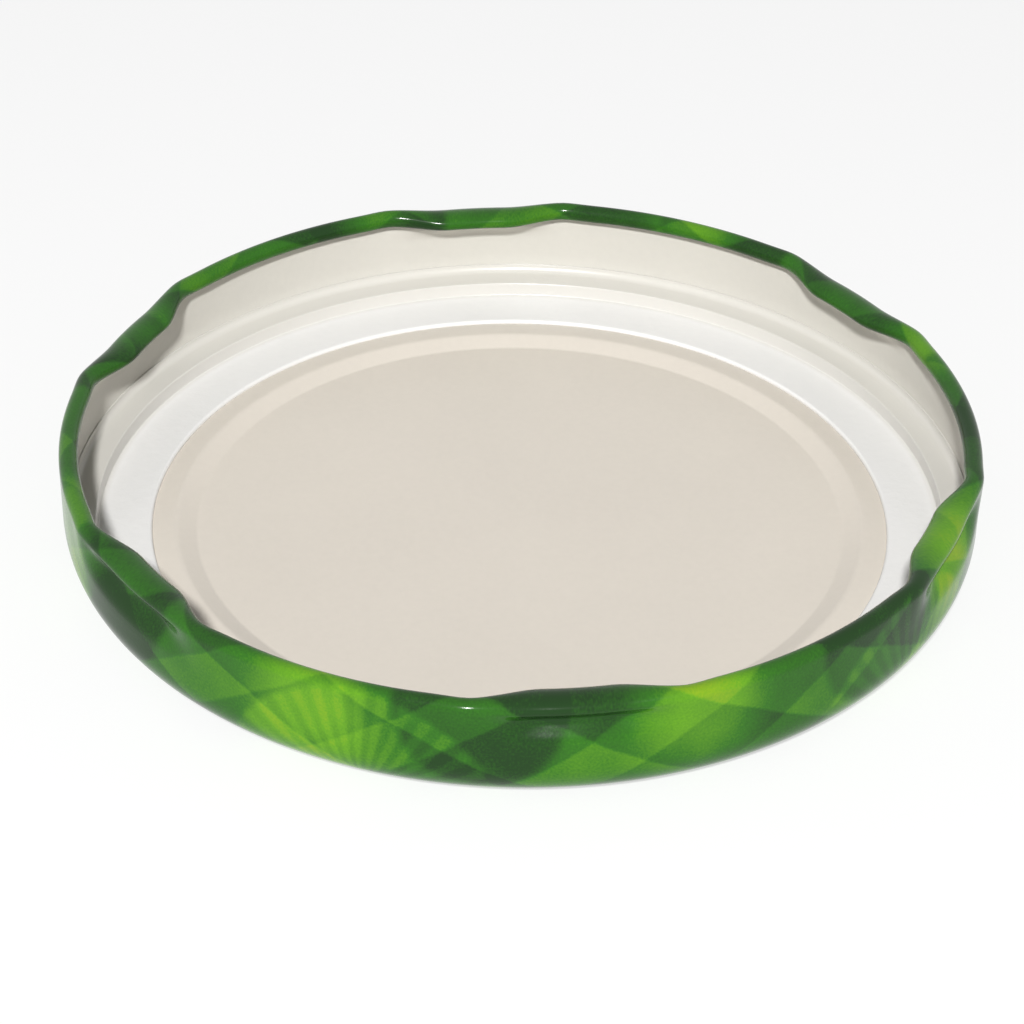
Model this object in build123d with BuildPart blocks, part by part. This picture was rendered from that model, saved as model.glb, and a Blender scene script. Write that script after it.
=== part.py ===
from build123d import *
import os
from math import atan2, cos, degrees, radians, sin, tan

# Twist-off lid for a glass jar, lying on its outer face with the open side up.
# Origin: centre of the resting face, +Z towards the open side. Sizes in millimetres, angles in degrees.

# Tinplate shell
outside_diameter = 85.0
height = 11.0
sheet = 0.18
shoulder_radius = 4.2

# Ring on which the lid rests, pressed out further than the centre panel
channel_width = 7.3
ring_land = 1.2
ring_slope = 9.5

# Stiffening bead between the ring and the centre panel, its top sloping down towards the ring
bead_flank_width = 0.8
bead_top_width = 2.2
bead_inner_width = 1.8
bead_height = 0.77
bead_top_fall = 0.2
panel_lift = 0.1

# Curl, rolled inwards round the mouth, its raw edge turned back towards the skirt
curl_radius = 0.88
curl_wrap = 270.0

# Lugs, where the curl and the top of the skirt are pressed inwards and the roll is flattened
lug_count = 6
first_lug_angle = 37.0
lug_length = 19.5
lug_flat_length = 6.0
lug_press = 0.55
lug_half_width = 1.5
lug_half_thickness = 0.9
lug_drop = 0.2
lug_neck_angle = 38.0
crease_height = 6.6
crease_rise = 1.3
neck_rise = 1.2

# Sealing compound, flowed into the ring and cured there
seal_depth = 0.92
seal_edge_width = 0.3
seal_height = 3.45
seal_lip = 0.25

# Round stretches are short chords, this many to each; the lug's are along each of its two ramps
shoulder_chords = 3
curl_chords = 6
neck_chords = 2
lug_chords = 2
seal_chords = 2

skirt_radius = outside_diameter / 2
foot_radius = skirt_radius - channel_width
flank_radius = foot_radius - bead_flank_width
crest_radius = flank_radius - bead_top_width
panel_radius = crest_radius - bead_inner_width
lug_pitch = 360 / lug_count

os.makedirs("parts", exist_ok=True)


def evenly(start, end, parts):
    """Values from start to end in this many equal steps, both ends included."""
    return [start + (end - start) * number / parts for number in range(parts + 1)]


def on_oval(centre, across, upright, turn):
    """Point of an oval with these half widths, this turn round from its outermost point."""
    return centre + Vector(across * cos(radians(turn)), upright * sin(radians(turn)))


def rim_section(distance):
    """Section of the skirt's top and the curl this far along the rim from a lug's middle."""
    ramp = (lug_length - lug_flat_length) / 2
    press = min((lug_length / 2 - abs(distance)) / ramp, 1)
    across = lug_half_width * press + curl_radius * (1 - press)
    upright = lug_half_thickness * press + curl_radius * (1 - press)
    centre = Vector(skirt_radius - lug_press * press - across, height - lug_drop * press - upright)
    neck = -lug_neck_angle * press
    turns = [
        turn + neck * (1 - turn / curl_wrap) ** 2 for turn in evenly(0, curl_wrap, curl_chords)
    ]
    heading = Vector(-across * sin(radians(neck)), upright * cos(radians(neck))).normalized()
    faces = []
    for inset in (0, sheet):
        roll = [on_oval(centre, across - inset, upright - inset, turn) for turn in turns]
        skirt_top = Vector(skirt_radius - inset, crease_height)
        bend = Edge.make_bezier(
            skirt_top,
            skirt_top + Vector(0, crease_rise),
            roll[0] - heading * neck_rise,
            roll[0],
        )
        faces.append([bend @ share for share in evenly(0, 1, neck_chords)] + roll[1:])
    angle = distance / skirt_radius
    radial_plane = Plane(
        origin=(0, 0, 0),
        x_dir=(cos(angle), sin(angle), 0),
        z_dir=(sin(angle), -cos(angle), 0),
    )
    outline = [radial_plane.from_local_coords(point) for point in faces[0] + faces[1][::-1]]
    return Face(Wire.make_polygon(outline))


def sheet_face(inset):
    """Face of the sheet this far in from the outside: panel, bead, ring, shoulder and plain skirt."""
    slope_foot = foot_radius + ring_land
    shoulder = Vector(
        skirt_radius - shoulder_radius,
        tan(radians(ring_slope)) * (skirt_radius - shoulder_radius - slope_foot)
        + shoulder_radius / cos(radians(ring_slope)),
    )
    corners = [
        Vector(0, panel_lift),
        Vector(panel_radius, panel_lift),
        Vector(crest_radius, bead_height),
        Vector(flank_radius, bead_height - bead_top_fall),
        Vector(foot_radius, 0),
        Vector(slope_foot, 0),
    ]
    corners += [
        on_oval(shoulder, shoulder_radius, shoulder_radius, turn)
        for turn in evenly(ring_slope - 90, 0, shoulder_chords)
    ]
    corners.append(Vector(skirt_radius, crease_height))
    headings = [(end - start).normalized() for start, end in zip(corners, corners[1:])]
    sides = [Vector(-heading.Y, heading.X) for heading in headings]
    points = [corners[0] + sides[0] * inset]
    for corner, before, after in zip(corners[1:], sides, sides[1:]):
        points.append(corner + (before + after) * (inset / (1 + before.dot(after))))
    points.append(corners[-1] + sides[-1] * inset)
    return points


# One lug and the plain stretch of curl that follows it
lug_places = evenly(-lug_length / 2, -lug_flat_length / 2, lug_chords)
lug_places += evenly(lug_flat_length / 2, lug_length / 2, lug_chords)
with BuildPart() as rim_sector:
    loft([rim_section(place) for place in lug_places], ruled=True)
    revolve(rim_section(lug_length / 2), revolution_arc=lug_pitch - degrees(lug_length / skirt_radius))

with BuildPart() as lid_shell:
    with BuildSketch(Plane.XZ):
        with BuildLine():
            Polyline(*sheet_face(0), *reversed(sheet_face(sheet)), close=True)
        make_face()
    revolve()
    with PolarLocations(0, lug_count, start_angle=first_lug_angle):
        add(rim_sector.part)
lid_shell.part.label = "lid_shell"
export_step(lid_shell.part, "parts/lid_shell.step")

# Sealing ring: from the bead's edge a flat land for the jar's rim, then swept up the wall
inside = sheet_face(sheet)
bead_edge = next(point for point in inside if point.X > flank_radius)
wall_foot = max(number for number, point in enumerate(inside) if point.Y <= seal_height)
wall_start, wall_end = inside[wall_foot], inside[wall_foot + 1]
wall_share = (seal_height - wall_start.Y) / (wall_end.Y - wall_start.Y)
wall_top = wall_start + (wall_end - wall_start) * wall_share
lip = wall_top - Vector(seal_lip, 0)
land_start = Vector(bead_edge.X + seal_edge_width, sheet + seal_depth)
wall_turn = degrees(atan2(wall_end.Y - wall_start.Y, wall_end.X - wall_start.X))
sweep_radius = (lip.Y - land_start.Y) / (1 - cos(radians(wall_turn)))
sweep_centre = Vector(lip.X - sweep_radius * sin(radians(wall_turn)), land_start.Y + sweep_radius)
sweep_points = [
    on_oval(sweep_centre, sweep_radius, sweep_radius, turn)
    for turn in evenly(-90, wall_turn - 90, seal_chords)
]
seat = inside[inside.index(bead_edge) + 1 : wall_foot + 1]
with BuildPart() as sealing_ring:
    with BuildSketch(Plane.XZ):
        with BuildLine():
            Polyline(bead_edge, land_start, *sweep_points, wall_top, *reversed(seat), close=True)
        make_face()
    revolve()
sealing_ring.part.label = "sealing_ring"
export_step(sealing_ring.part, "parts/sealing_ring.step")
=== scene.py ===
from math import asin, atan2, ceil, cos, exp, pi, radians, sin, tan, tau

import bmesh
import bpy
from bpy.props import FloatProperty, FloatVectorProperty, IntProperty, PointerProperty
from mathutils import Matrix, Vector


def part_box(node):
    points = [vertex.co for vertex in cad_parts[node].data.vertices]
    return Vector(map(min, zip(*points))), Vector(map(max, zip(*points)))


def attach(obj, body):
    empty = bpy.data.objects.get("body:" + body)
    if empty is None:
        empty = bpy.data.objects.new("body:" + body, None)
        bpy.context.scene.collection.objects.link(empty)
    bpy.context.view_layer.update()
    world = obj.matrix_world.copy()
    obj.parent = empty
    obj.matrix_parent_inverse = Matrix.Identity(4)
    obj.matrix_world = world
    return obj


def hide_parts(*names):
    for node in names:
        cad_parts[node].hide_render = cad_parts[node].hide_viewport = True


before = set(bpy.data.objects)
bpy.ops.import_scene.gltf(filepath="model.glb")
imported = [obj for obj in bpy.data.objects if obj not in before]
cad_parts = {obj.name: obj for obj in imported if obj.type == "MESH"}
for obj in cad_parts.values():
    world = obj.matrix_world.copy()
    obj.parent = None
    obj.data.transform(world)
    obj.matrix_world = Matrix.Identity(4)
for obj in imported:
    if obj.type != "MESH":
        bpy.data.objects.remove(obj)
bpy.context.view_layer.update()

bl_info = {
    "name": "Twist-off lid",
    "version": (1, 0, 0),
    "blender": (4, 5, 0),
    "location": "3D View > Sidebar > Twist-off lid",
    "description": "Builds a printed twist-off lid with its sealing ring, and a pale stage to show it on",
    "category": "Object",
}

MM = 0.001
SHELL_LOW, SHELL_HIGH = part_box("lid_shell")
SKIRT_RADIUS = (SHELL_HIGH.x - SHELL_LOW.x) / 2
LID_HEIGHT = SHELL_HIGH.z


def length_property(name, description, millimetres):
    """A length that a user may change, given here in millimetres."""
    return FloatProperty(
        name=name, description=description, default=millimetres * MM, unit="LENGTH", precision=5
    )


def angle_property(name, description, degrees):
    """An angle that a user may change, given here in degrees."""
    return FloatProperty(
        name=name, description=description, default=radians(degrees), subtype="ANGLE"
    )


def colour_property(name, description, colour):
    """A colour that a user may change."""
    return FloatVectorProperty(
        name=name, description=description, default=colour, size=3, subtype="COLOR", min=0, max=1
    )


class SheetSettings(bpy.types.PropertyGroup):
    """Sizes of the drawn tinplate sheet."""

    thickness: length_property("Thickness", "Thickness of the tinplate sheet", 0.18)
    shoulder_radius: length_property("Shoulder radius", "Bend between the top and the skirt", 4.2)
    channel_width: length_property("Ring width", "Width of the ring that the lid rests on", 7.3)
    ring_land: length_property("Ring land", "Width of the ring's flat part", 1.2)
    ring_slope: angle_property("Ring slope", "Slope from the ring's flat part to the shoulder", 9.5)
    bead_flank: length_property("Bead flank", "Width of the bead's steep side", 0.8)
    bead_top: length_property("Bead top", "Width of the bead's top", 2.2)
    bead_inner: length_property("Bead inner side", "Width of the bead's side towards the panel", 1.8)
    bead_height: length_property("Bead height", "Height of the bead over the resting face", 0.77)
    bead_fall: length_property("Bead fall", "Fall of the bead's top towards the ring", 0.2)
    panel_lift: length_property("Panel lift", "Height of the panel over the resting face", 0.1)
    panel_bend: length_property("Panel bend", "Bending radius at both ends of the bead's inner side", 1.2)
    bead_bend: length_property("Bead bend", "Bending radius at the bead's edge", 0.6)
    foot_bend: length_property("Foot bend", "Bending radius at both ends of the ring's flat part", 1.0)
    around: IntProperty(name="Steps round", description="Steps of the sheet round its axis", default=384)


class RimSettings(bpy.types.PropertyGroup):
    """Sizes of the curl and its lugs."""

    curl_radius: length_property("Curl radius", "Outer radius of the rolled curl", 0.88)
    curl_wrap: angle_property("Curl wrap", "How far the sheet is rolled", 290)
    lug_count: IntProperty(name="Lugs", description="Number of lugs", default=6)
    first_lug: angle_property("First lug", "Angle of the first lug from the X axis", 37)
    lug_length: length_property("Lug length", "Length of a lug along the rim", 19.5)
    lug_flat: length_property("Lug flat", "Length of a lug's full depth", 6.0)
    lug_press: length_property("Lug press", "How far the lug's outer side is pressed in", 0.55)
    lug_half_width: length_property("Lug half width", "Half width of the flattened roll", 1.5)
    lug_half_height: length_property("Lug half height", "Half height of the flattened roll", 0.9)
    lug_drop: length_property("Lug drop", "How far the lug lies below the curl", 0.2)
    neck_angle: angle_property("Neck angle", "Turn of the roll at which the skirt leaves it", 38)
    crease_height: length_property("Crease height", "Height at which the lugs begin", 6.5)
    crease_rise: length_property("Crease rise", "Softness of the bend at the crease", 1.5)
    neck_rise: length_property("Neck rise", "Softness of the bend at the neck", 1.6)
    end_bump: length_property("End bump", "Swelling of the curl at the ends of a lug", 0.15)


class SealSettings(bpy.types.PropertyGroup):
    """Sizes of the flowed-in sealing compound."""

    depth: length_property("Depth", "Thickness of the compound on the ring's flat part", 0.92)
    edge: length_property("Edge", "Rounding of the inner edge", 0.3)
    height: length_property("Height", "Height to which the compound climbs the wall", 3.45)
    lip: length_property("Lip", "Thickness of the compound's top edge", 0.08)
    land_end: length_property("Land end", "From the skirt to the outer end of the flat land", 3.05)
    land_rise: length_property("Land rise", "Rise of the land from its inner to its outer end", 0.12)
    step_width: length_property("Step width", "Width of the steep step beside the land", 0.12)
    ledge_height: length_property("Ledge height", "Height of the ledge between the step and the wall", 2.55)
    ledge_rise: length_property("Ledge rise", "Rise of the ledge towards the wall", 0.12)
    step_bend: length_property("Step bend", "Rounding at both ends of the step", 0.16)
    wall_bend: length_property("Wall bend", "Rounding between the ledge and the wall", 0.8)
    bite: length_property("Bite", "How far the compound's inner edge fills the bead's rounding", 0.05)


class PrintSettings(bpy.types.PropertyGroup):
    """Colours of the printed lacquer, the inner lacquer and the compound."""

    dark: colour_property("Dark green", "Darkest printed bands", (0.012, 0.042, 0.009))
    middle: colour_property("Middle green", "Printed ground", (0.028, 0.135, 0.010))
    bright: colour_property("Bright green", "Lighter printed bands", (0.105, 0.285, 0.012))
    yellow: colour_property("Yellow green", "Lightest printed patches", (0.29, 0.39, 0.012))
    cream: colour_property("Inner lacquer", "Cream lacquer of the panel", (0.69, 0.635, 0.56))
    wall: colour_property("Wall lacquer", "Inner lacquer up the wall", (0.60, 0.58, 0.53))
    compound: colour_property("Compound", "Sealing compound on its land", (0.795, 0.785, 0.77))
    # Colour of the sweep beyond the land: its own cream, made darker as painted shade for the sloped sweep.
    sweep_with_painted_shade: colour_property("Film", "Thin compound over the inner lacquer", (0.625, 0.605, 0.56))


class StageSettings(bpy.types.PropertyGroup):
    """Camera, floor and light."""

    lens: FloatProperty(name="Lens", description="Focal length", default=108.4, subtype="DISTANCE_CAMERA")
    elevation: angle_property("Elevation", "Camera's angle above the floor", 34.73)
    roll: angle_property("Roll", "Camera's turn about its own axis", 0.85)
    distance: length_property("Distance", "Distance of the camera from its target", 288.31)
    target_x: length_property("Target X", "Place that the camera looks at", -0.73)
    target_y: length_property("Target Y", "Place that the camera looks at", -2.09)
    target_z: length_property("Target Z", "Place that the camera looks at", 2.33)
    floor: colour_property("Floor", "Colour of the floor", (0.93, 0.93, 0.93))
    glow: FloatProperty(name="Floor glow", description="Share of plain white in the floor as seen", default=0.6)
    sky: FloatProperty(name="Sky", description="Strength of the even light", default=0.2)
    flash_power: FloatProperty(name="Flash power", description="Power of the lamp", default=12.0, unit="POWER")
    flash_distance: length_property("Flash distance", "Distance of the lamp from the lid", 1000)
    flash_size: length_property("Flash size", "Diameter of the lamp", 75)
    flash_height: angle_property("Flash height", "Lamp's angle above the floor", 42)
    flash_turn: angle_property("Flash turn", "Lamp's turn to the left of the camera", 4)


def across(radius, height):
    """Point of the section through the lid's axis."""
    return Vector((radius, 0, height))


def section_corners(sheet, inset):
    """Corners of the face of the sheet this far in from the outside, from the centre to the skirt."""
    foot = SKIRT_RADIUS - sheet.channel_width
    flank = foot - sheet.bead_flank
    crest = flank - sheet.bead_top
    panel = crest - sheet.bead_inner
    land_end = foot + sheet.ring_land
    corners = [
        across(0, sheet.panel_lift),
        across(panel, sheet.panel_lift),
        across(crest, sheet.bead_height),
        across(flank, sheet.bead_height - sheet.bead_fall),
        across(foot, 0),
        across(land_end, 0),
        across(SKIRT_RADIUS, tan(sheet.ring_slope) * (SKIRT_RADIUS - land_end)),
        across(SKIRT_RADIUS, LID_HEIGHT),
    ]
    headings = [(end - start).normalized() for start, end in zip(corners, corners[1:])]
    sides = [across(-heading.z, heading.x) for heading in headings]
    points = [corners[0] + sides[0] * inset]
    for corner, before, after in zip(corners[1:], sides, sides[1:]):
        points.append(corner + (before + after) * (inset / (1 + before.dot(after))))
    points.append(corners[-1] + sides[-1] * inset)
    return points


def section_radii(sheet):
    """Outside bending radii from the panel's edge to the shoulder, below 0 where the sheet bends down."""
    return [
        sheet.panel_bend,
        -sheet.panel_bend,
        -sheet.bead_bend,
        sheet.foot_bend,
        sheet.foot_bend,
        sheet.shoulder_radius,
    ]


class Outline:
    """A line of vertices drawn in the section plane by extruding and spinning its last vertex."""

    arc_step = radians(8)

    def __init__(self, mesh, start):
        self.mesh = mesh
        self.last = mesh.verts.new(start)
        self.first = self.last

    def line_to(self, point, parts=1):
        """A straight stretch in this many parts."""
        start = self.last.co.copy()
        for number in range(1, parts + 1):
            made = bmesh.ops.extrude_vert_indiv(self.mesh, verts=[self.last])
            self.last = made["verts"][0]
            self.last.co = start.lerp(point, number / parts)

    def arc(self, centre, turn):
        """A round stretch about the centre, to the left where the turn is positive."""
        made = bmesh.ops.spin(
            self.mesh,
            geom=[self.last],
            cent=centre,
            axis=(0, -1, 0),
            angle=turn,
            steps=max(2, ceil(abs(turn) / self.arc_step)),
            use_merge=False,
            use_duplicate=False,
        )
        self.last = next(item for item in made["geom_last"] if isinstance(item, bmesh.types.BMVert))

    def corner(self, point, following, radius, top=None):
        """A straight stretch towards this corner and the bend round it, or as far as this height."""
        before = (point - self.last.co).normalized()
        after = (following - point).normalized()
        turn = atan2(before.x * after.z - before.z * after.x, before.dot(after))
        start = point - before * (radius * tan(abs(turn) / 2))
        centre = start + across(-before.z, before.x) * (radius if turn > 0 else -radius)
        if top is not None:
            turn += min(asin((top - centre.z) / radius), 0)
        self.line_to(start)
        self.arc(centre, turn)
        return turn + atan2(before.z, before.x)

    def walk(self):
        """The line's vertices in order."""
        vert, came_by = self.first, None
        while vert is not None:
            yield vert
            edge = next((edge for edge in vert.link_edges if edge is not came_by), None)
            vert, came_by = (edge.other_vert(vert), edge) if edge else (None, None)


def lug_depth(rim, angle):
    """How deep the rim is pressed at this angle round the lid, from 0 to 1, and the way to the lug's end."""
    pitch = tau / rim.lug_count
    offset = (angle - rim.first_lug + pitch / 2) % pitch - pitch / 2
    distance = abs(offset) * SKIRT_RADIUS
    ramp_length = (rim.lug_length - rim.lug_flat) / 2
    ramp = min(max((distance - rim.lug_flat / 2) / ramp_length, 0), 1)
    return (1 + cos(pi * ramp)) / 2, distance - rim.lug_length / 2


def bezier(points, share):
    """Point of a cubic curve."""
    first, second, third, fourth = points
    rest = 1 - share
    return (
        first * rest**3
        + second * (3 * rest**2 * share)
        + third * (3 * rest * share**2)
        + fourth * share**3
    )


def rim_point(rim, share, turn, press):
    """Point of the rim's outer face: share of the way up the skirt, or turn round the roll."""
    half_width = rim.lug_half_width * press + rim.curl_radius * (1 - press)
    half_height = rim.lug_half_height * press + rim.curl_radius * (1 - press)
    centre = across(
        SKIRT_RADIUS - rim.lug_press * press - half_width,
        LID_HEIGHT - rim.lug_drop * press - half_height,
    )
    neck = -rim.neck_angle * press

    def on_roll(angle):
        return centre + across(half_width * cos(angle), half_height * sin(angle))

    if turn > 0:
        return on_roll(turn + neck * (1 - turn / rim.curl_wrap) ** 2)
    heading = across(-half_width * sin(neck), half_height * cos(neck)).normalized()
    crease = across(SKIRT_RADIUS, rim.crease_height)
    roll_start = on_roll(neck)
    return bezier(
        (crease, crease + across(0, rim.crease_rise), roll_start - heading * rim.neck_rise, roll_start),
        share,
    )


def press_lugs(mesh, rim, length, crease_length, roll_length):
    """Presses the lugs into the spun rim."""
    bump_reach = 1.6 * MM
    for vert in mesh.verts:
        way = vert[length]
        if way <= crease_length:
            continue
        angle = atan2(vert.co.y, vert.co.x)
        press, past_end = lug_depth(rim, angle)
        share = (way - crease_length) / (roll_length - crease_length)
        turn = (way - roll_length) / rim.curl_radius
        point = rim_point(rim, share, turn, press)
        swell = rim.end_bump * exp(-((past_end / bump_reach) ** 2)) * min(share, 1)
        vert.co = Matrix.Rotation(angle, 3, "Z") @ across(point.x + swell, point.z)


def finish_mesh(mesh, name, materials, node):
    """Makes a piece of the mesh that rides on the root body and stands for the CAD node."""
    data = bpy.data.meshes.new(name)
    mesh.to_mesh(data)
    mesh.free()
    data.shade_smooth()
    piece = bpy.data.objects.new(name, data)
    bpy.context.scene.collection.objects.link(piece)
    for material in materials:
        data.materials.append(material)
    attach(piece, "root")
    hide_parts(node)
    return piece


def spin_round(mesh, steps):
    """Spins the drawn section round the lid's axis and closes it at the pole."""
    bmesh.ops.spin(
        mesh,
        geom=mesh.verts[:] + mesh.edges[:],
        cent=(0, 0, 0),
        axis=(0, 0, 1),
        angle=tau,
        steps=steps,
        use_merge=True,
        use_duplicate=False,
    )
    bmesh.ops.remove_doubles(mesh, verts=mesh.verts, dist=0.001 * MM)
    bmesh.ops.recalc_face_normals(mesh, faces=mesh.faces)


class Wire:
    """A shader socket that takes part in Python expressions."""

    def __init__(self, shader, socket):
        self.shader = shader
        self.socket = socket

    def _math(self, operation, *values, clamp=False):
        return self.shader.node(
            "ShaderNodeMath", {"operation": operation, "use_clamp": clamp}, dict(enumerate(values))
        )

    def __add__(self, other):
        return self._math("ADD", self, other)

    __radd__ = __add__

    def __sub__(self, other):
        return self._math("SUBTRACT", self, other)

    def __rsub__(self, other):
        return self._math("SUBTRACT", other, self)

    def __mul__(self, other):
        return self._math("MULTIPLY", self, other)

    __rmul__ = __mul__

    def __truediv__(self, other):
        return self._math("DIVIDE", self, other)

    def __rtruediv__(self, other):
        return self._math("DIVIDE", other, self)

    def __pow__(self, other):
        return self._math("POWER", self, other)

    def __neg__(self):
        return self._math("MULTIPLY", self, -1)

    def cosine(self):
        return self._math("COSINE", self)

    def sine(self):
        return self._math("SINE", self)

    def absolute(self):
        return self._math("ABSOLUTE", self)

    def wrapped(self, low, high):
        return self._math("WRAP", self, high, low)

    def clamped(self):
        return self._math("ADD", self, 0, clamp=True)

    def smaller(self, other):
        return self._math("MINIMUM", self, other)

    def larger(self, other):
        return self._math("MAXIMUM", self, other)

    def length_with(self, other):
        return self._math("SQRT", self * self + other * other)

    def angle_from(self, other):
        return self._math("ARCTAN2", self, other)

    def stepped(self, low, high):
        """0 below low, 1 above high and smooth between them."""
        return self.shader.node(
            "ShaderNodeMapRange",
            {"interpolation_type": "SMOOTHSTEP"},
            {"Value": self, "From Min": low, "From Max": high},
        )


class Shader:
    """Builds the nodes of one material, or of the node tree given."""

    def __init__(self, name="", tree=None):
        if tree is None:
            self.material = bpy.data.materials.new(name)
            self.material.use_nodes = True
            tree = self.material.node_tree
        self.tree = tree
        self.tree.nodes.clear()

    def node(self, kind, settings, values, output=0):
        """Adds a node, sets it up, fills its sockets and returns one of its outputs."""
        node = self.tree.nodes.new(kind)
        for key, value in settings.items():
            setattr(node, key, value)
        for key, value in values.items():
            if isinstance(value, Wire):
                self.tree.links.new(value.socket, node.inputs[key])
            else:
                node.inputs[key].default_value = value
        return Wire(self, node.outputs[output])

    def ramp(self, value, stops):
        """A colour ramp through these stops of place and colour."""
        node = self.tree.nodes.new("ShaderNodeValToRGB")
        elements = node.color_ramp.elements
        while len(elements) < len(stops):
            elements.new(0.5)
        for element, (place, colour) in zip(elements, stops):
            element.position = place
            element.color = (*colour, 1)
        self.tree.links.new(value.socket, node.inputs["Fac"])
        return Wire(self, node.outputs["Color"])

    def mix(self, share, first, second, blend="MIX"):
        """Colours mixed by a share."""
        colours = {
            key: colour if isinstance(colour, Wire) else (*colour, 1)
            for key, colour in ((6, first), (7, second))
        }
        return self.node(
            "ShaderNodeMix",
            {"data_type": "RGBA", "blend_type": blend},
            {0: share, **colours},
            2,
        )

    def place(self, offset=(0, 0, 0), scale=1.0):
        """Object coordinates, shifted and scaled."""
        coordinates = self.node("ShaderNodeTexCoord", {}, {}, "Object")
        return self.node(
            "ShaderNodeMapping",
            {},
            {"Vector": coordinates, "Location": offset, "Scale": (scale, scale, scale)},
        )

    def split(self, vector):
        """The three parts of a vector."""
        node = self.tree.nodes.new("ShaderNodeSeparateXYZ")
        self.tree.links.new(vector.socket, node.inputs[0])
        return [Wire(self, output) for output in node.outputs]

    def join(self, x, y, z=0.0):
        """A vector of three parts."""
        return self.node("ShaderNodeCombineXYZ", {}, {0: x, 1: y, 2: z})

    def noise(self, vector, scale, detail=2.0, roughness=0.5):
        """Smooth noise from 0 to 1."""
        return self.node(
            "ShaderNodeTexNoise",
            {},
            {"Vector": vector, "Scale": scale, "Detail": detail, "Roughness": roughness},
        )

    def bump(self, height, strength, distance, below=None):
        """A bumped normal, on top of another where one is given."""
        values = {"Height": height, "Strength": strength, "Distance": distance}
        if below is not None:
            values["Normal"] = below
        return self.node("ShaderNodeBump", {}, values)

    def end_in(self, surface):
        """Ends the material in this surface."""
        output = self.tree.nodes.new("ShaderNodeOutputMaterial")
        self.tree.links.new(surface.socket, output.inputs["Surface"])
        return self.material

    def surface(self, values):
        """Ends the material in a Principled shader."""
        return self.end_in(self.node("ShaderNodeBsdfPrincipled", {}, values))


def printed_lacquer(colours):
    """Glossy lacquer over a green print of see-through discs, rays and spiral bands."""
    shader = Shader("printed_lacquer")
    flat_place = shader.node("ShaderNodeAttribute", {"attribute_name": "print_place"}, {}, "Vector")
    x, y, _ = shader.split(flat_place)
    radius = x.length_with(y) / MM
    angle = y.angle_from(x)

    def discs(count, phase, ring, size, soft):
        """Discs evenly round a ring: the share of print, and the turn about a disc's own centre."""
        reach = pi / count
        turn = (angle - phase).wrapped(-reach, reach)
        outwards = radius * turn.cosine() - ring
        sideways = radius * turn.sine()
        share = 1 - outwards.length_with(sideways).stepped(size - soft, size + soft)
        return share, sideways.angle_from(outwards)

    def spiral(arms, twist, low, high):
        """Bands that wind outwards, this many round the lid."""
        return (angle * arms + radius * twist).sine().stepped(low, high)

    away_from_centre = radius.stepped(4, 16)
    shade, _ = discs(7, 0.15, 52.0, 9.0, 0.7)
    leaf, leaf_turn = discs(5, 0.62, 39.5, 12.0, 0.5)
    glow, _ = discs(8, 0.36, 49.5, 5.6, 3.8)
    inner_leaf, inner_turn = discs(6, 0.1, 22.0, 9.0, 0.5)
    rays = (leaf_turn * 31).sine().stepped(-0.9, 0.9) * leaf
    inner_rays = (inner_turn * 18).sine().stepped(-0.9, 0.9) * inner_leaf
    wide_bands = spiral(9, 0.40, -0.12, 0.06) * away_from_centre
    crossing_bands = spiral(14, -0.50, 0.10, 0.34) * away_from_centre
    cloud = shader.noise(flat_place, 160, 2)
    dots = shader.noise(flat_place, 4200, 1)
    tone = (
        0.24
        + leaf * 0.13
        + inner_leaf * 0.16
        + rays * 0.09
        + inner_rays * 0.08
        + glow * 0.40
        + crossing_bands * 0.14
        - wide_bands * 0.18
        - shade * 0.20
        + (cloud - 0.5) * 0.26
        + (dots - 0.5) * 0.22
    )
    stops = [(0.0, colours.dark), (0.3, colours.middle), (0.62, colours.bright), (1.0, colours.yellow)]
    colour = shader.ramp(tone.clamped(), [(place, tuple(shade_of)) for place, shade_of in stops])
    peel = shader.noise(shader.place(), 2300, 2)
    bump = shader.bump(peel, 0.25, 0.00003)
    return shader.surface(
        {
            "Base Color": colour,
            "Roughness": 0.16 + (cloud - 0.5) * 0.06,
            "Specular IOR Level": 0.16,
            "Normal": bump,
        }
    )


def cream_lacquer(colours):
    """Cream lacquer of the inside, a little whiter up the wall, with a faint orange peel."""
    shader = Shader("cream_lacquer")
    place = shader.place()
    x, y, _ = shader.split(place)
    up_wall = (x.length_with(y) / MM).stepped(37, 41)
    cloud = shader.noise(place, 60, 3)
    speckle = shader.noise(place, 1500, 3)
    grain = shader.noise(place, 2400, 3)
    colour = shader.mix(up_wall, tuple(colours.cream), tuple(colours.wall))
    mottle = 0.93 + cloud * 0.08 + speckle * 0.05
    shaded = shader.mix(1.0, colour, shader.join(mottle, mottle, mottle), "MULTIPLY")
    bump = shader.bump(grain, 0.15, 0.00005)
    return shader.surface(
        {"Base Color": shaded, "Roughness": 0.3 + cloud * 0.08, "Specular IOR Level": 0.4, "Normal": bump}
    )


def bare_tin():
    """Bare tinplate of the cut edge."""
    shader = Shader("bare_tin")
    grain = shader.noise(shader.place(), 3000, 2)
    return shader.surface(
        {"Base Color": (0.55, 0.55, 0.54, 1), "Metallic": 1.0, "Roughness": grain * 0.2 + 0.25}
    )


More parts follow.
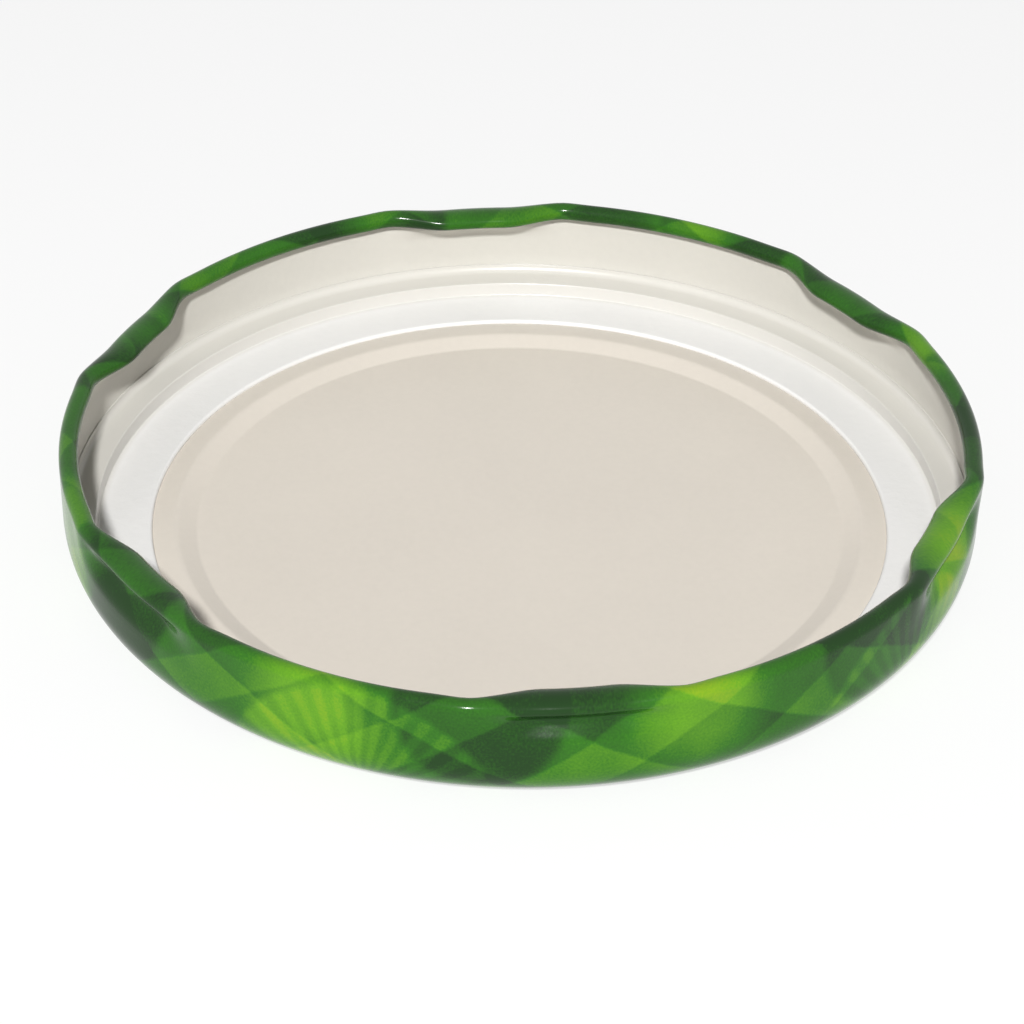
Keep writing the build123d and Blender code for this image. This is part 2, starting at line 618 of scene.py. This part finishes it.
def sealing_compound(colours, land_end):
    """White plastisol on its land, and beyond the land a cream colour that is partly the surface's own cream
    and partly painted shade that darkens the sloped sweep.
    """
    shader = Shader("sealing_compound")
    place = shader.place()
    x, y, _ = shader.split(place)
    radius = x.length_with(y)
    # Share of the surface beyond the land that takes the cream darkened as painted shade.
    sweep_with_painted_shade = radius.stepped(land_end - 0.7 * MM, land_end + 0.3 * MM)
    cloud = shader.noise(place, 90, 3)
    swell = shader.noise(place, 1400, 2)
    # Painted shade: the sweep's cream is set darker than the lacquer so the sloped sweep renders darker than
    # its light would make it.
    colour = shader.mix(sweep_with_painted_shade, tuple(colours.compound), tuple(colours.sweep_with_painted_shade))
    mottle = 0.97 + cloud * 0.05
    shaded = shader.mix(1.0, colour, shader.join(mottle, mottle, mottle), "MULTIPLY")
    bump = shader.bump(swell * (1 - sweep_with_painted_shade * 0.8), 0.35, 0.00008)
    return shader.surface({"Base Color": shaded, "Roughness": 0.26, "Normal": bump})


def seen_directly(shader):
    """1 for what the camera sees, straight or in a mirror or glass, and 0 for light on the object."""
    camera = shader.node("ShaderNodeLightPath", {}, {}, "Is Camera Ray")
    glossy = shader.node("ShaderNodeLightPath", {}, {}, "Is Glossy Ray")
    through = shader.node("ShaderNodeLightPath", {}, {}, "Is Transmission Ray")
    return camera.larger(glossy).larger(through)


def pale_floor(stage):
    """Pale floor that shows nearly white and keeps the lid's shadow."""
    shader = Shader("pale_floor")
    plain = shader.node(
        "ShaderNodeBsdfPrincipled", {}, {"Base Color": (*stage.floor, 1), "Roughness": 0.9}
    )
    white = shader.node("ShaderNodeEmission", {}, {"Color": (1, 1, 1, 1), "Strength": 1.0})
    share = seen_directly(shader) * stage.glow
    return shader.end_in(shader.node("ShaderNodeMixShader", {}, {0: share, 1: plain, 2: white}))


def even_light(stage):
    """World that lights the lid evenly and shows white."""
    world = bpy.data.worlds.new("even_light")
    world.use_nodes = True
    shader = Shader(tree=world.node_tree)
    strength = stage.sky + seen_directly(shader) * (1 - stage.sky)
    background = shader.node("ShaderNodeBackground", {}, {"Color": (1, 1, 1, 1), "Strength": strength})
    output = shader.tree.nodes.new("ShaderNodeOutputWorld")
    shader.tree.links.new(background.socket, output.inputs["Surface"])
    return world


class LID_OT_make_shell(bpy.types.Operator):
    """Makes the drawn and printed tinplate shell with its curl and lugs."""

    bl_idname = "lid.make_shell"
    bl_label = "Make the shell"

    def execute(self, context):
        sheet, rim = context.scene.lid_sheet, context.scene.lid_rim
        colours = context.scene.lid_print
        mesh = bmesh.new()
        length = mesh.verts.layers.float.new("sheet_length")
        place = mesh.verts.layers.float_vector.new("print_place")
        corners = section_corners(sheet, 0)
        outline = Outline(mesh, corners[0])
        for corner, following, radius in zip(corners[1:], corners[2:], section_radii(sheet)):
            outline.corner(corner, following, abs(radius))
        outline.line_to(across(SKIRT_RADIUS, rim.crease_height), 3)
        crease = outline.last
        outline.line_to(across(SKIRT_RADIUS, LID_HEIGHT - rim.curl_radius), 14)
        roll_start = outline.last
        outline.arc(roll_start.co - across(rim.curl_radius, 0), rim.curl_wrap)
        way, previous = 0.0, outline.first.co
        for vert in outline.walk():
            way += (vert.co - previous).length
            previous = vert.co
            vert[length] = way
        crease_length, roll_length = crease[length], roll_start[length]
        spin_round(mesh, sheet.around)
        for vert in mesh.verts:
            angle = atan2(vert.co.y, vert.co.x)
            vert[place] = Vector((cos(angle), sin(angle), 0)) * vert[length]
        press_lugs(mesh, rim, length, crease_length, roll_length)
        bmesh.ops.recalc_face_normals(mesh, faces=mesh.faces)
        materials = [printed_lacquer(colours), cream_lacquer(colours), bare_tin()]
        piece = finish_mesh(mesh, "tinplate_shell", materials, "lid_shell")
        wall = piece.modifiers.new("sheet_thickness", "SOLIDIFY")
        wall.thickness = sheet.thickness
        wall.offset = -1
        wall.use_even_offset = True
        wall.material_offset = 1
        wall.material_offset_rim = 2
        return {"FINISHED"}


class LID_OT_make_seal(bpy.types.Operator):
    """Makes the flowed-in sealing ring."""

    bl_idname = "lid.make_seal"
    bl_label = "Make the sealing ring"

    def execute(self, context):
        sheet, seal = context.scene.lid_sheet, context.scene.lid_seal
        mesh = bmesh.new()
        edge, *seat = section_corners(sheet, sheet.thickness)[3:]
        radii = [abs(radius - sheet.thickness) for radius in section_radii(sheet)[3:]]
        start = edge - across(0, seal.bite)
        level = sheet.thickness + seal.depth
        lip = seal.lip / 2
        outline = Outline(mesh, start)
        outline.corner(seat[0], seat[1], radii[0])
        outline.corner(seat[1], seat[2], radii[1])
        outline.corner(seat[2], seat[3], radii[2], seal.height - lip)
        outline.arc(outline.last.co - across(lip, 0), pi)
        land_end = SKIRT_RADIUS - seal.land_end
        ledge_start = across(land_end + seal.step_width, seal.ledge_height)
        wall_foot = across(outline.last.co.x, seal.ledge_height + seal.ledge_rise)
        step_foot = across(land_end, level + seal.land_rise)
        land_start = across(edge.x + seal.edge, level)
        outline.corner(wall_foot, ledge_start, seal.wall_bend)
        outline.corner(ledge_start, step_foot, seal.step_bend)
        outline.corner(step_foot, land_start, seal.step_bend)
        outline.line_to(land_start, 4)
        outline.arc(outline.last.co - across(0, seal.edge), pi / 2)
        outline.line_to(start)
        spin_round(mesh, sheet.around)
        compound = sealing_compound(context.scene.lid_print, land_end)
        finish_mesh(mesh, "sealing_compound", [compound], "sealing_ring")
        return {"FINISHED"}


class LID_OT_make_stage(bpy.types.Operator):
    """Makes the pale floor, the soft light and the camera."""

    bl_idname = "lid.make_stage"
    bl_label = "Make the stage"

    def execute(self, context):
        stage = context.scene.lid_stage
        back = Vector((0, -cos(stage.elevation), sin(stage.elevation)))
        level_right = Vector((1, 0, 0))
        level_up = back.cross(level_right)
        right = cos(stage.roll) * level_right + sin(stage.roll) * level_up
        up = -sin(stage.roll) * level_right + cos(stage.roll) * level_up
        target = Vector((stage.target_x, stage.target_y, stage.target_z))
        data = bpy.data.cameras.new("camera")
        data.lens = stage.lens
        data.sensor_width = 36
        data.clip_start = 0.01
        camera = bpy.data.objects.new("camera", data)
        turned = Matrix((right, up, back)).transposed().to_4x4()
        camera.matrix_world = Matrix.Translation(target + back * stage.distance) @ turned
        context.scene.collection.objects.link(camera)
        context.scene.camera = camera

        mesh = bmesh.new()
        bmesh.ops.create_grid(mesh, x_segments=1, y_segments=1, size=3)
        data = bpy.data.meshes.new("floor")
        mesh.to_mesh(data)
        mesh.free()
        floor = bpy.data.objects.new("floor", data)
        data.materials.append(pale_floor(stage))
        context.scene.collection.objects.link(floor)
        context.scene.world = even_light(stage)

        lamp = bpy.data.lights.new("flash", "AREA")
        lamp.shape = "DISK"
        lamp.size = stage.flash_size
        lamp.energy = stage.flash_power
        key = bpy.data.objects.new("flash", lamp)
        level = cos(stage.flash_height)
        direction = Vector(
            (-level * sin(stage.flash_turn), -level * cos(stage.flash_turn), sin(stage.flash_height))
        )
        key.location = direction * stage.flash_distance
        key.rotation_euler = direction.to_track_quat("Z", "Y").to_euler()
        context.scene.collection.objects.link(key)
        context.scene.view_settings.view_transform = "Standard"
        return {"FINISHED"}


SETTINGS = {
    "lid_sheet": SheetSettings,
    "lid_rim": RimSettings,
    "lid_seal": SealSettings,
    "lid_print": PrintSettings,
    "lid_stage": StageSettings,
}
OPERATORS = (LID_OT_make_shell, LID_OT_make_seal, LID_OT_make_stage)


class LID_PT_panel(bpy.types.Panel):
    """Sizes, colours and steps of the lid."""

    bl_idname = "LID_PT_panel"
    bl_label = "Twist-off lid"
    bl_space_type = "VIEW_3D"
    bl_region_type = "UI"
    bl_category = "Twist-off lid"

    def draw(self, context):
        for name, group in SETTINGS.items():
            column = self.layout.column()
            for key in group.__annotations__:
                column.prop(getattr(context.scene, name), key)
        for operator in OPERATORS:
            self.layout.operator(operator.bl_idname)


def register():
    for name, group in SETTINGS.items():
        bpy.utils.register_class(group)
        setattr(bpy.types.Scene, name, PointerProperty(type=group))
    for each in (*OPERATORS, LID_PT_panel):
        bpy.utils.register_class(each)


def unregister():
    for each in (LID_PT_panel, *reversed(OPERATORS)):
        bpy.utils.unregister_class(each)
    for name, group in SETTINGS.items():
        delattr(bpy.types.Scene, name)
        bpy.utils.unregister_class(group)


def main():
    register()
    bpy.ops.lid.make_shell()
    bpy.ops.lid.make_seal()
    bpy.ops.lid.make_stage()


if __name__ == "__main__":
    main()
